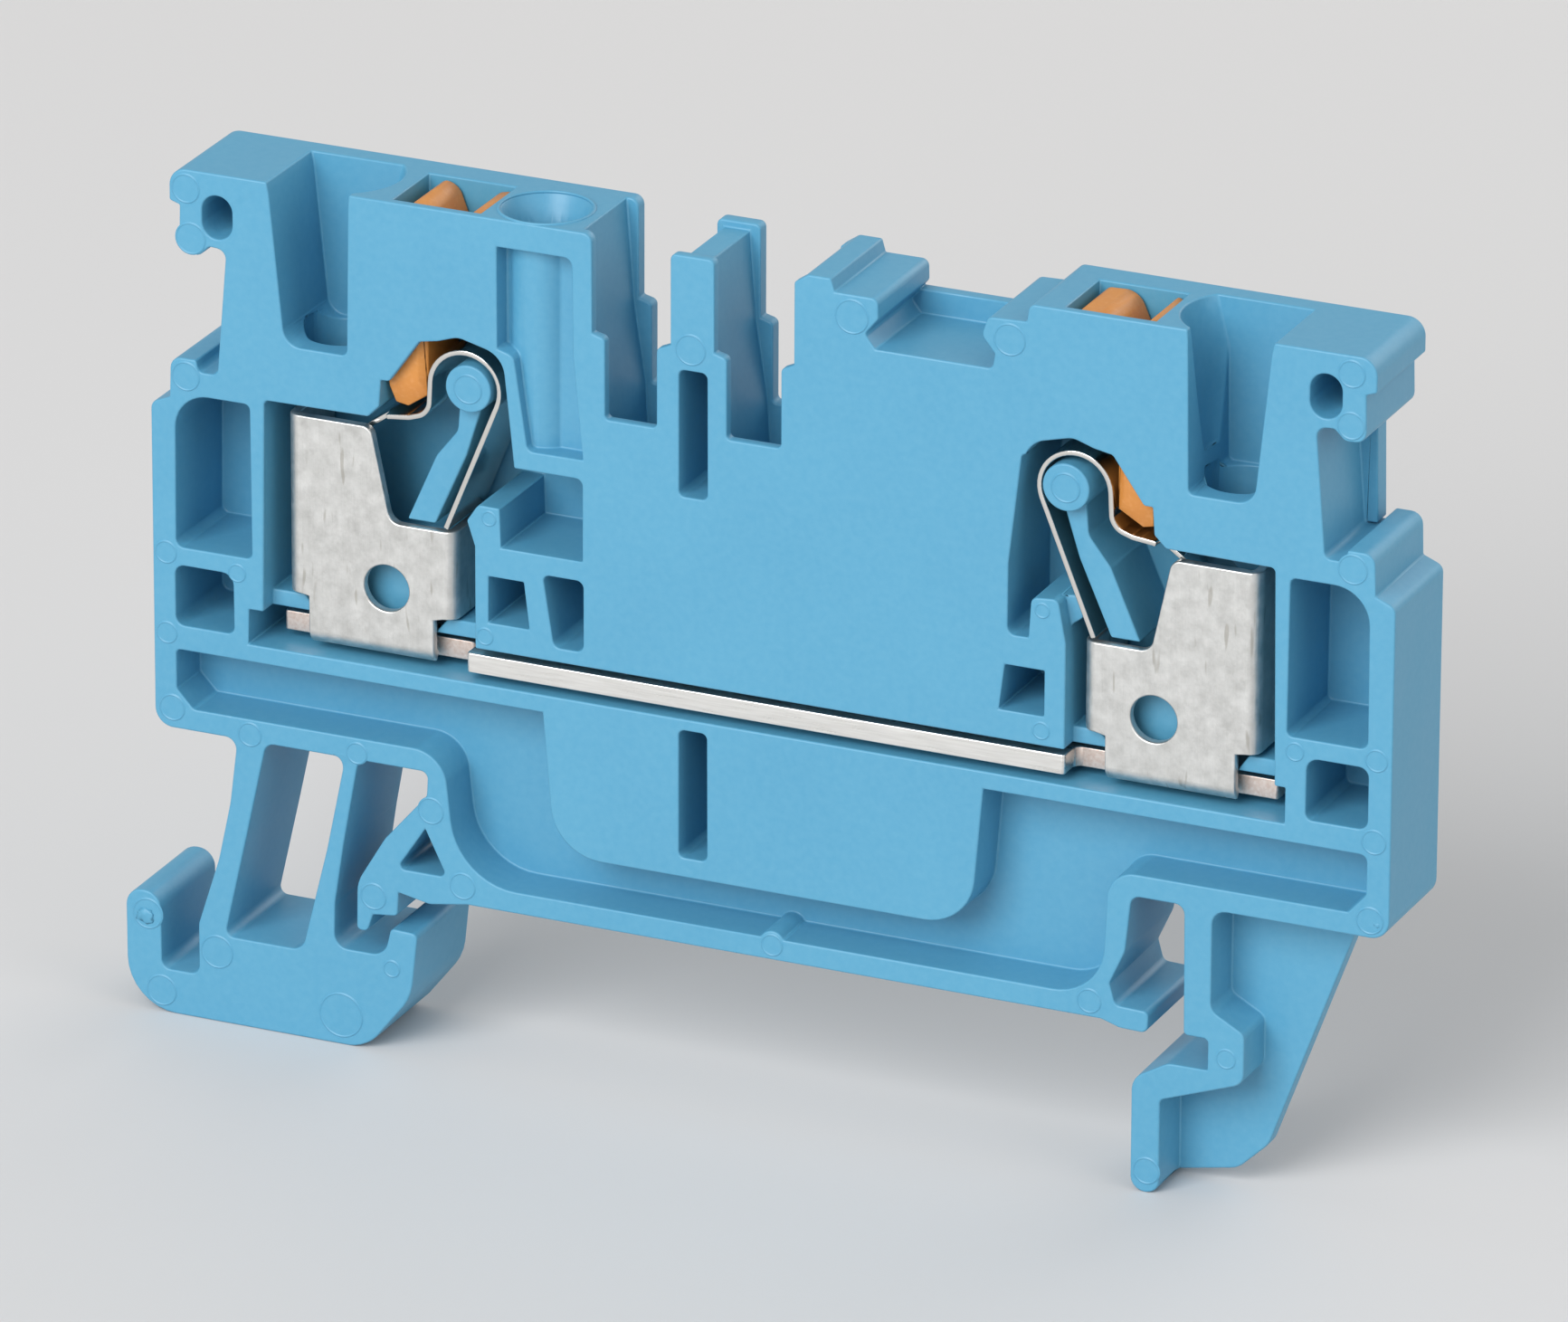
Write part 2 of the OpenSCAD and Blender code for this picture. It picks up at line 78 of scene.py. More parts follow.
def add_node(material, kind, settings=(), **inputs):
    """Adds a shader node. An input is set to a value or linked to another node's socket, and
    it is given by its name, or as _2 by its place where several share a name."""
    new = material.node_tree.nodes.new(kind)
    for key, value in dict(settings).items():
        setattr(new, key, value)
    for key, value in inputs.items():
        place = int(key[1:]) if key[1:].isdigit() else key.replace("_", " ")
        socket = new.inputs[place]
        if isinstance(value, bpy.types.NodeSocket):
            material.node_tree.links.new(value, socket)
        else:
            socket.default_value = value
    return new


def new_material(name):
    """An empty node material and its Principled shader."""
    material = bpy.data.materials.new(name)
    material.use_nodes = True
    return material, material.node_tree.nodes["Principled BSDF"]


SOLES = -0.00715
# Patterns are sized in cells to the millimetre, and the shaders count cells to the metre.
PER_MM = 1000

# White melamine laminate: an even off-white with a very faint cloudiness, 55 mm across.
laminate, shader = new_material("white_melamine_laminate")
shader.inputs["Roughness"].default_value = 0.62
shader.inputs["IOR"].default_value = 1.5
where = add_node(laminate, "ShaderNodeTexCoord").outputs["Object"]
cloud = add_node(laminate, "ShaderNodeTexNoise", Vector=where, Scale=0.018 * PER_MM, Detail=2)
tone = add_node(laminate, "ShaderNodeMix", {"data_type": "RGBA"}, _0=cloud.outputs["Fac"],
                _6=linear("#CBCBCC"), _7=linear("#CFCFCF"))
# painted light: the colour lightens towards the back, as if the light fell stronger there; the
# sheet itself stays flat
back_position = add_node(laminate, "ShaderNodeSeparateXYZ", Vector=where)
painted_back_light = add_node(laminate, "ShaderNodeMapRange", Value=back_position.outputs["Y"], From_Min=0.0,
                From_Max=0.35, To_Min=0.0, To_Max=1.0)
tone = add_node(laminate, "ShaderNodeMix", {"data_type": "RGBA"}, _0=painted_back_light.outputs["Result"],
                _6=tone.outputs[2], _7=linear("#E6E4E2"))
laminate.node_tree.links.new(tone.outputs[2], shader.inputs["Base Color"])

sheet = bmesh.new()
bmesh.ops.create_grid(sheet, x_segments=8, y_segments=8, size=2.5)
bmesh.ops.translate(sheet, verts=sheet.verts, vec=(0, 0, SOLES))
table_mesh = bpy.data.meshes.new("table")
sheet.to_mesh(table_mesh)
sheet.free()
table_mesh.materials.append(laminate)
table = bpy.data.objects.new("table", table_mesh)
scene.collection.objects.link(table)

room = bpy.data.worlds.new("white_room")
room.use_nodes = True
room.node_tree.nodes["Background"].inputs["Color"].default_value = linear("#F7F7F7")
room.node_tree.nodes["Background"].inputs["Strength"].default_value = 0.6
scene.world = room

for name, place, size, watts in (("softbox", (-0.12, -0.62, 0.42), 0.5, 5.6),
                                 ("side_card", (0.75, -0.2, 0.35), 0.5, 1.1),
                                 ("back_card", (0.25, 0.8, 0.35), 0.6, 1.8)):
    lamp = bpy.data.lights.new(name, "AREA")
    lamp.size = size
    lamp.energy = watts
    stand = bpy.data.objects.new(name, lamp)
    stand.location = place
    towards_block = Vector((0, 0, 0.01)) - stand.location
    stand.rotation_euler = towards_block.to_track_quat("-Z", "Y").to_euler()
    scene.collection.objects.link(stand)
scene.view_settings.view_transform = "Standard"


# ---- housing ----------------------------------------------------------------------------
# One shell, open at the front, injection-moulded in sky-blue polyamide 6.6: the walls are
# full of pockets that keep them thin, and two pins inside carry the springs.

# Polyamide 6.6 from a finely spark-eroded mould: satin, with flow clouds 6 mm across and
# flecks of 0.3 mm. The grain of 0.12 mm is coarser than the real 0.03 mm, so that it shows.
polyamide, shader = new_material("moulded_polyamide_66_sky_blue")
shader.inputs["IOR"].default_value = 1.53
where = add_node(polyamide, "ShaderNodeTexCoord").outputs["Object"]
flow = add_node(polyamide, "ShaderNodeTexNoise", Vector=where, Scale=0.16 * PER_MM, Detail=3,
                Roughness=0.55)
speck = add_node(polyamide, "ShaderNodeTexNoise", Vector=where, Scale=3.2 * PER_MM, Detail=2)
tone = add_node(polyamide, "ShaderNodeMix", {"data_type": "RGBA"}, _0=flow.outputs["Fac"],
                _6=linear("#4A91B3"), _7=linear("#5299B9"))
fleck = add_node(polyamide, "ShaderNodeMapRange", Value=speck.outputs["Fac"], From_Min=0.3,
                 From_Max=0.75, To_Min=0.0, To_Max=0.16)
tone = add_node(polyamide, "ShaderNodeMix", {"data_type": "RGBA"}, _0=fleck.outputs["Result"],
                _6=tone.outputs[2], _7=linear("#72AAC3"))
polyamide.node_tree.links.new(tone.outputs[2], shader.inputs["Base Color"])
satin = add_node(polyamide, "ShaderNodeMapRange", Value=flow.outputs["Fac"], From_Min=0.3,
                 From_Max=0.7, To_Min=0.40, To_Max=0.52)
polyamide.node_tree.links.new(satin.outputs["Result"], shader.inputs["Roughness"])
grain = add_node(polyamide, "ShaderNodeTexNoise", Vector=where, Scale=8.3 * PER_MM, Detail=2)
relief = add_node(polyamide, "ShaderNodeBump", Height=grain.outputs["Fac"], Strength=0.35,
                  Distance=0.000008)
polyamide.node_tree.links.new(relief.outputs["Normal"], shader.inputs["Normal"])


MOULDED_EDGE = 0.000085


def round_edges(piece, width, segments=3, angle=30):
    """Eases the edges sharper than the angle and keeps the flat faces looking flat."""
    edge = piece.modifiers.new("eased_edges", "BEVEL")
    edge.width = width
    edge.segments = segments
    edge.limit_method = "ANGLE"
    edge.angle_limit = math.radians(angle)
    edge.use_clamp_overlap = False
    edge.loop_slide = False
    even = piece.modifiers.new("even_shading", "WEIGHTED_NORMAL")
    even.weight = 100


def join_triangles(solid):
    """Joins a CAD solid's loose triangles into whole flat faces, so that its edges can be eased."""
    for face in solid.data.polygons:
        face.use_smooth = True
    weld = solid.modifiers.new("weld", "WELD")
    weld.merge_threshold = 0.000002
    for step in ("flat_faces", "even_triangles", "flat_faces_again"):
        if step == "even_triangles":
            solid.modifiers.new(step, "TRIANGULATE").ngon_method = "BEAUTY"
        else:
            flat = solid.modifiers.new(step, "DECIMATE")
            flat.decimate_type = "DISSOLVE"
            flat.angle_limit = math.radians(1)


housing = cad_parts["housing"]
housing.data.materials.clear()
housing.data.materials.append(polyamide)
join_triangles(housing)
round_edges(housing, MOULDED_EDGE)


# ---- ejector marks ----------------------------------------------------------------------
# The pins that push the shell out of its mould each leave a round pad a few hundredths of a
# millimetre proud, with a fine raised line of flash around it.

def add_pad(mould, x, z, r, y=0.0):
    """A round pad centred at x and z on the face at depth y, all in millimetres."""
    profile = [(0, -0.015), (r - 0.11, -0.015), (r - 0.06, -0.040), (r, 0.002), (r, 0.04),
               (0, 0.04)]
    verts = [mould.verts.new((x + out, y + depth, z)) for out, depth in profile]
    edges = [mould.edges.new(pair) for pair in zip(verts, verts[1:])]
    bmesh.ops.spin(mould, geom=verts + edges, cent=(x, y, z), axis=(0, 1, 0), angle=math.tau,
                   steps=32, use_merge=True)
    pole = [v for v in mould.verts if abs(v.co.x - x) < 1e-5 and abs(v.co.z - z) < 1e-5]
    bmesh.ops.remove_doubles(mould, verts=pole, dist=1e-4)


# The row's origin, in millimetres from the block's middle, its open side and its soles.
ROW_ORIGIN = Vector((1.65, 2.55, 7.15))
TO_ROW = Matrix.Scale(0.001, 4) @ Matrix.Translation(-ROW_ORIGIN)


def make_piece(name, shape, *materials):
    """Turns a mesh drawn in millimetres from the block's middle, its open side and its soles
    into an object in the row's metres."""
    bmesh.ops.recalc_face_normals(shape, faces=shape.faces)
    shape.transform(TO_ROW)
    mesh = bpy.data.meshes.new(name)
    shape.to_mesh(mesh)
    shape.free()
    for face in mesh.polygons:
        face.use_smooth = True
    for material in materials:
        mesh.materials.append(material)
    piece = bpy.data.objects.new(name, mesh)
    scene.collection.objects.link(piece)
    return piece


def face_depth(x, z):
    """How deep the housing's surface lies at x and z, seen from the open side."""
    hit, spot, _, _ = housing.ray_cast(TO_ROW @ Vector((x, -5, z)), (0, 1, 0))
    return spot.y * 1000 + ROW_ORIGIN.y if hit else 0.0


pads = bmesh.new()
for x, z, r in ((-25.3, 36.1, 0.65), (-25.1, 34.0, 0.7), (25.0, 36.15, 0.6), (25.0, 34.0, 0.6),
                (-25.4, 28.05, 0.65), (25.2, 28.05, 0.65), (-26.4, 20.3, 0.52),
                (-23.2, 19.9, 0.42), (-26.4, 16.8, 0.5), (-26.2, 13.55, 0.6),
                (-22.7, 12.95, 0.55), (-17.9, 12.95, 0.5), (26.35, 20.2, 0.5),
                (22.9, 20.0, 0.42), (26.3, 16.75, 0.55), (26.2, 13.4, 0.6), (-3.1, 32.7, 0.68),
                (3.85, 35.2, 0.75), (10.6, 35.3, 0.7), (-12.95, 29.4, 0.65),
                (12.95, 29.4, 0.65), (-11.95, 24.1, 0.35), (12.1, 24.15, 0.35),
                (-12.15, 19.0, 0.4), (12.1, 19.05, 0.4), (-13.2, 7.95, 0.6),
                (0.5, 7.8, 0.5), (14.3, 7.85, 0.55), (-14.6, 11.0, 0.6), (-17.2, 6.8, 0.6),
                (20.2, 6.4, 0.45), (16.85, 0.95, 0.6)):
    add_pad(pads, x, z, r, face_depth(x, z))
ejector_marks = make_piece("ejector_marks", pads, polyamide)
ejector_marks.data.set_sharp_from_angle(angle=math.radians(15))
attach(ejector_marks, "housing")


# ---- flexing foot -----------------------------------------------------------------------
# The claw that snaps under the rail's edge hangs from the shell by two thin legs and is
# moulded in one with it. In the real part the legs bend so that the claw can slide outward.

def outline(shape, corners):
    """A flat face in X and Z whose corners (x, z, radius) are rounded."""
    verts = [shape.verts.new((x, 0, z)) for x, z, r in corners]
    shape.faces.new(verts)
    places = [v.co.copy() for v in verts]
    for i, (x, z, r) in enumerate(corners):
        if r > 0:
            before, after = places[i - 1] - places[i], places[(i + 1) % len(places)] - places[i]
            half = before.angle(after) / 2
            bmesh.ops.bevel(shape, geom=[verts[i]], offset=r / math.tan(half), affect="VERTICES",
                            segments=max(2, round((math.pi - 2 * half) / 0.2)), profile=0.5,
                            material=-1)


def thicken(shape, y0, y1):
    """Gives the outline its thickness, from y0 to y1."""
    bmesh.ops.translate(shape, verts=shape.verts, vec=(0, y0, 0))
    grown = bmesh.ops.extrude_face_region(shape, geom=shape.faces[:])["geom"]
    bmesh.ops.translate(shape, verts=[v for v in grown if isinstance(v, bmesh.types.BMVert)],
                        vec=(0, y1 - y0, 0))


LEG_END = 12.65
LEG_TOP = 12.9
# The foot's faces lie a hair in front of the housing's, so that no two share one plane.
FOOT_FRONT, FOOT_BACK = -0.002, 5.098
foot = bmesh.new()
outline(foot, [
    (-28.42, 0, 2.2), (-28.45, 5.25, 0.75), (-26.87, 5.25, 0.75), (-26.85, 1.93, 0.4),
    (-25.15, 1.93, 0.4), (-25.15, 4.2, 0.5), (-24.2, 7.2, 3), (-23.65, 9.8, 3),
    (-23.3, LEG_END, 0.5), (-23.85, LEG_END, 0), (-23.85, LEG_TOP, 0), (-21.5, LEG_TOP, 0),
    (-21.5, LEG_END, 0), (-22.0, LEG_END, 0.45), (-22.9, 8.5, 3), (-23.95, 3.85, 0.35),
    (-20.45, 3.85, 0.6), (-19.3, 8.5, 3), (-18.45, LEG_END, 0.5), (-18.95, LEG_END, 0),
    (-18.95, LEG_TOP, 0), (-17.35, LEG_TOP, 0), (-17.35, LEG_END, 0), (-17.85, LEG_END, 0.45),
    (-18.55, 8.8, 3), (-18.95, 6.2, 1), (-19, 4.25, 0.6), (-16.75, 4.25, 0.7),
    (-16.45, 5.5, 0.2), (-15.25, 5.45, 0.25), (-15.55, 2.6, 2), (-17.6, 0, 1.6)])
thicken(foot, FOOT_FRONT, FOOT_BACK)
# rings across the legs, at the heights where the real legs bend
for z in (5.2, 6, 7, 8, 9, 10, 11, 12):
    bmesh.ops.bisect_plane(foot, geom=foot.verts[:] + foot.edges[:] + foot.faces[:],
                           plane_co=(0, 0, z), plane_no=(0, 0, 1))
flexing_foot = make_piece("flexing_foot", foot, polyamide)
round_edges(flexing_foot, MOULDED_EDGE)
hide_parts("rail_foot", "foot_outer_leg", "foot_inner_leg")
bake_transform(flexing_foot)

foot_pads = bmesh.new()
for x, z, r in ((-24.3, 3.1, 0.75), (-26.85, 0.95, 0.7), (-18.7, 1.3, 1.0), (-16.4, 3.75, 0.4),
                (-27.45, 4.25, 0.7)):
    add_pad(foot_pads, x, z, r, FOOT_FRONT)
foot_marks = make_piece("foot_ejector_marks", foot_pads, polyamide)
foot_marks.data.set_sharp_from_angle(angle=math.radians(15))
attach(foot_marks, "rail_foot")


# ---- gate remnants ----------------------------------------------------------------------
# Where the melt came into the mould the sprue was torn off, which leaves a small ragged stub.

def add_stub(mould, x, z, r):
    """A ragged stub of plastic about r across, flattened against the front face."""
    ball = bmesh.ops.create_icosphere(mould, subdivisions=3, radius=r)["verts"]
    for vert in ball:
        rough = 1 + 0.55 * noise.noise(vert.co * 3.5 / r + Vector((x, 0, z)))
        vert.co = Vector((vert.co.x * rough, vert.co.y * 0.24 * rough, vert.co.z * rough * 0.8))
    bmesh.ops.translate(mould, verts=ball, vec=(x, 0, z))


stub = bmesh.new()
add_stub(stub, -27.55, 4.15, 0.42)
foot_gate = make_piece("foot_gate_stub", stub, polyamide)
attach(foot_gate, "rail_foot")

stub = bmesh.new()
add_stub(stub, 26.5, 13.25, 0.13)
housing_gate = make_piece("housing_gate_stub", stub, polyamide)
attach(housing_gate, "housing")


# ---- test funnel's rim ------------------------------------------------------------------
# The round funnel for a test plug has a fine raised lip on the top face, moulded with it.

LIP_CENTRE = Vector((-10.3, 2.0, 36.89))
LIP_R = 1.92
BEAD_R = 0.07

lip = bmesh.new()
bead = bmesh.ops.create_circle(lip, segments=12, radius=BEAD_R, cap_ends=False,
                               matrix=Matrix.Rotation(math.pi / 2, 4, "X"))["verts"]
bmesh.ops.translate(lip, verts=bead, vec=LIP_CENTRE + Vector((LIP_R, 0, 0)))
bmesh.ops.spin(lip, geom=lip.verts[:] + lip.edges[:], cent=LIP_CENTRE, axis=(0, 0, 1),
               angle=math.tau, steps=64, use_merge=True)
test_lip = make_piece("test_funnel_lip", lip, polyamide)
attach(test_lip, "housing")


# ---- clamping cages ---------------------------------------------------------------------
# A cage holds the stripped wire against the busbar. It is stamped from 0.45 mm steel strip
# and folded: the front panel has its sides and its lower edge bent inward.

# Nickel-plated steel strip: pale grey, with the rolling lines along the strip, a plating
# cloudy every 0.7 mm and scuffs of 0.3 mm from the barrel. The rolling lines are drawn
# 0.1 mm apart, coarser than real ones, so that they show.
plated, shader = new_material("nickel_plated_steel_strip")
shader.inputs["Metallic"].default_value = 1
where = add_node(plated, "ShaderNodeTexCoord").outputs["Object"]
along = add_node(plated, "ShaderNodeMapping", Vector=where, Scale=(1, 1, 0.06))
lines = add_node(plated, "ShaderNodeTexNoise", Vector=along.outputs["Vector"],
                 Scale=9 * PER_MM, Detail=3)
cloud = add_node(plated, "ShaderNodeTexNoise", Vector=where, Scale=1.5 * PER_MM, Detail=6,
                 Roughness=0.7)
thin = add_node(plated, "ShaderNodeMapping", Vector=where, Scale=(1, 1, 0.18),
                Rotation=(0, 0.5, 0))
scuff = add_node(plated, "ShaderNodeTexNoise", Vector=thin.outputs["Vector"],
                 Scale=3.6 * PER_MM, Detail=1)
tone = add_node(plated, "ShaderNodeMix", {"data_type": "RGBA"}, _0=cloud.outputs["Fac"],
                _6=linear("#B2B2AE"), _7=linear("#F0F0EE"))
worn = add_node(plated, "ShaderNodeMapRange", Value=scuff.outputs["Fac"], From_Min=0.68,
                From_Max=0.76, To_Min=0.0, To_Max=0.45)
tone = add_node(plated, "ShaderNodeMix", {"data_type": "RGBA"}, _0=worn.outputs["Result"],
                _6=tone.outputs[2], _7=linear("#9C968A"))
plated.node_tree.links.new(tone.outputs[2], shader.inputs["Base Color"])
haze = add_node(plated, "ShaderNodeMapRange", Value=cloud.outputs["Fac"], From_Min=0.25,
                From_Max=0.75, To_Min=0.34, To_Max=0.56)
plated.node_tree.links.new(haze.outputs["Result"], shader.inputs["Roughness"])
both = add_node(plated, "ShaderNodeMath", {"operation": "ADD"}, _0=lines.outputs["Fac"],
                _1=cloud.outputs["Fac"])
relief = add_node(plated, "ShaderNodeBump", Height=both.outputs["Value"], Strength=0.5,
                  Distance=0.00002)
plated.node_tree.links.new(relief.outputs["Normal"], shader.inputs["Normal"])

SHEET = 0.45
FRONT = 0.4 + SHEET / 2
BEND = 0.35
WING_END = 4.05
OUTER_SIDE, INNER_SIDE = -20.575, -14.225
LOWER_EDGE, LOWER_BEND = 17.85, 0.5
CUT_EDGE = 0.00007


def fold(shape, on_fold, centre, axis, angle, steps, wing=0.0):
    """Folds the sheet on at the edges that on_fold picks, and adds a straight wing."""
    edges = [e for e in shape.edges if e.is_boundary and all(on_fold(v.co) for v in e.verts)]
    verts = list({v for e in edges for v in e.verts})
    last = bmesh.ops.spin(shape, geom=verts + edges, cent=centre, axis=axis,
                          angle=math.radians(angle), steps=steps)["geom_last"]
    if wing:
        ends = [e for e in last if isinstance(e, bmesh.types.BMEdge)]
        grown = bmesh.ops.extrude_edge_only(shape, edges=ends)["geom"]
        bmesh.ops.translate(shape, vec=(0, wing, 0),
                            verts=[v for v in grown if isinstance(v, bmesh.types.BMVert)])


def cage_sheet():
    """The left cage as a sheet without thickness, in the middle of its steel."""
    shape = bmesh.new()
    outline(shape, [
        (OUTER_SIDE, 27, 0), (-17.4, 27, 0.45), (-16.55, 23, 0.55), (INNER_SIDE, 23, 0),
        (INNER_SIDE, 19.2, 0), (-14.65, 19.1, 0), (-14.65, LOWER_EDGE, 0),
        (-20.2, LOWER_EDGE, 0), (-20.2, 19.25, 0), (OUTER_SIDE, 19.3, 0)])
    bmesh.ops.delete(shape, geom=shape.faces[:], context="FACES_ONLY")
    hole = Matrix.Translation((-16.72, 0, 20.16)) @ Matrix.Rotation(math.pi / 2, 4, "X")
    bmesh.ops.create_circle(shape, segments=40, radius=1.0, cap_ends=False, matrix=hole)
    bmesh.ops.triangle_fill(shape, edges=shape.edges[:], use_beauty=True, use_dissolve=True,
                            normal=(0, -1, 0))
    bmesh.ops.translate(shape, verts=shape.verts, vec=(0, FRONT, 0))
    wing = WING_END - FRONT - BEND
    for edge, turn in ((OUTER_SIDE, -90), (INNER_SIDE, 90)):
        fold(shape, lambda c: abs(c.x - edge) < 0.01 and c.y < FRONT + 0.01,
             (edge, FRONT + BEND, 0), (0, 0, 1), turn, 6, wing)
    fold(shape, lambda c: abs(c.z - LOWER_EDGE) < 0.01 and c.y < FRONT + 0.01,
         (0, FRONT + LOWER_BEND, LOWER_EDGE), (1, 0, 0), 65, 5)
    return shape


for side, flip in (("left", 1), ("right", -1)):
    strip = cage_sheet()
    bmesh.ops.scale(strip, verts=strip.verts, vec=(flip, 1, 1))
    cage = make_piece(side + "_cage_sheet", strip, plated)
    wall = cage.modifiers.new("sheet", "SOLIDIFY")
    wall.thickness = SHEET / 1000
    wall.offset = 0
    round_edges(cage, CUT_EDGE, 2, 40)
    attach(cage, "housing")
    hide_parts(side + "_cage")


# ---- busbar -----------------------------------------------------------------------------
# The current bar between the two clamps, punched from 0.85 mm copper that was tin-plated in
# the strip, so that its sheared ends show bare copper. Two slots take a jumper's legs.

# Tin-plated copper: a bright warm white, hazed by rolling lines along the bar. They are drawn
# 0.08 mm apart, coarser than real ones, so that they show.
tinned, shader = new_material("tin_plated_copper")
shader.inputs["Metallic"].default_value = 1
where = add_node(tinned, "ShaderNodeTexCoord").outputs["Object"]
along = add_node(tinned, "ShaderNodeMapping", Vector=where, Scale=(0.05, 1, 1))
lines = add_node(tinned, "ShaderNodeTexNoise", Vector=along.outputs["Vector"],
                 Scale=12 * PER_MM, Detail=3)
tone = add_node(tinned, "ShaderNodeMix", {"data_type": "RGBA"}, _0=lines.outputs["Fac"],
                _6=linear("#D6D4CF"), _7=linear("#F6F5F2"))
tinned.node_tree.links.new(tone.outputs[2], shader.inputs["Base Color"])
haze = add_node(tinned, "ShaderNodeMapRange", Value=lines.outputs["Fac"], From_Min=0.25,
                From_Max=0.75, To_Min=0.24, To_Max=0.42)
tinned.node_tree.links.new(haze.outputs["Result"], shader.inputs["Roughness"])
relief = add_node(tinned, "ShaderNodeBump", Height=lines.outputs["Fac"], Strength=0.4,
                  Distance=0.00001)
tinned.node_tree.links.new(relief.outputs["Normal"], shader.inputs["Normal"])

# Sheared copper: a pinkish edge where the punch has smeared some of the tin over the copper,
# in tears 0.14 mm wide.
sheared, shader = new_material("sheared_copper_edge")
shader.inputs["Metallic"].default_value = 1
where = add_node(sheared, "ShaderNodeTexCoord").outputs["Object"]
tear = add_node(sheared, "ShaderNodeTexNoise", Vector=where, Scale=7 * PER_MM, Detail=3)
tone = add_node(sheared, "ShaderNodeMix", {"data_type": "RGBA"}, _0=tear.outputs["Fac"],
                _6=linear("#C9AB9A"), _7=linear("#F2EAE4"))
sheared.node_tree.links.new(tone.outputs[2], shader.inputs["Base Color"])
shader.inputs["Roughness"].default_value = 0.5

BAR_BOTTOM, BAR_TOP = 17.25, 18.1
NECK_X = 13.05
SLOT_W, SLOT_FRONT, SLOT_BACK = 1, 1.3, 3.7
PUNCHED_EDGE = 0.00006

bar = bmesh.new()
outline(bar, [
    (-NECK_X, 0.15, 0.15), (NECK_X, 0.15, 0.15), (NECK_X, 1.3, 0.35), (21.7, 1.3, 0.12),
    (21.7, 3.4, 0.12), (NECK_X, 3.4, 0.35), (NECK_X, 4.1, 0.15), (-NECK_X, 4.1, 0.15),
    (-NECK_X, 3.4, 0.35), (-21.7, 3.4, 0.12), (-21.7, 1.3, 0.12), (-NECK_X, 1.3, 0.35)])
bmesh.ops.delete(bar, geom=bar.faces[:], context="FACES_ONLY")
for x in (-6.22, -0.87):
    hole = [bar.verts.new(corner) for corner in (
        (x, 0, SLOT_FRONT), (x + SLOT_W, 0, SLOT_FRONT), (x + SLOT_W, 0, SLOT_BACK),
        (x, 0, SLOT_BACK))]
    for pair in zip(hole, hole[1:] + hole[:1]):
        bar.edges.new(pair)
bmesh.ops.triangle_fill(bar, edges=bar.edges[:], use_beauty=True, use_dissolve=True,
                        normal=(0, 1, 0))
thicken(bar, -BAR_TOP, -BAR_BOTTOM)
bmesh.ops.rotate(bar, verts=bar.verts, cent=(0, 0, 0),
                 matrix=Matrix.Rotation(-math.pi / 2, 3, "X"))
for face in bar.faces:
    if abs(face.calc_center_median().x) > NECK_X + 0.05 and abs(face.normal.z) < 0.5:
        face.material_index = 1
busbar = make_piece("tinned_busbar", bar, tinned, sheared)
round_edges(busbar, PUNCHED_EDGE, 2, 40)
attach(busbar, "housing")
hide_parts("busbar")


# ---- clamping springs -------------------------------------------------------------------
# Each is one strip of spring steel, bent round the housing's pin: a straight leg leans on
# the cage, and a wavy arm ends in a narrower tongue that presses the wire down.

# Stainless spring steel, rolled and tumbled: smooth and bright, with faint lines along it.
# They are drawn 0.3 mm apart, coarser than real rolling lines, so that they show.
spring_steel, shader = new_material("rolled_stainless_spring_steel")
shader.inputs["Metallic"].default_value = 1
where = add_node(spring_steel, "ShaderNodeTexCoord").outputs["Object"]
across = add_node(spring_steel, "ShaderNodeMapping", Vector=where, Scale=(0.2, 1, 0.2))
lines = add_node(spring_steel, "ShaderNodeTexNoise", Vector=across.outputs["Vector"],
                 Scale=3 * PER_MM, Detail=2)
tone = add_node(spring_steel, "ShaderNodeMix", {"data_type": "RGBA"}, _0=lines.outputs["Fac"],
                _6=linear("#D0CEC9"), _7=linear("#DAD8D4"))
spring_steel.node_tree.links.new(tone.outputs[2], shader.inputs["Base Color"])
haze = add_node(spring_steel, "ShaderNodeMapRange", Value=lines.outputs["Fac"], From_Min=0.25,
                From_Max=0.75, To_Min=0.12, To_Max=0.18)
spring_steel.node_tree.links.new(haze.outputs["Result"], shader.inputs["Roughness"])

STRIP = 0.22
ROLLED_EDGE = 0.00004
STRIP_FRONT, STRIP_W = 0.45, 3.5
TONGUE_FRONT, TONGUE_BACK = 1.0, 3.5
TONGUE_X = -16.72
LOOP = Vector((-13.23, 0, 29.28))
LOOP_R = 1.52
# The wavy arm from the loop's end: the middle of its strip, with the radius of each bend.
ARM = [(-14.75, 29.29, 0), (-14.82, 27.95, 0.7), (-15.7, 27.66, 0.5), (-16.7, 27.55, 0.6),
       (-17.55, 26.95, 1), (-20.3, 24.6, 0)]


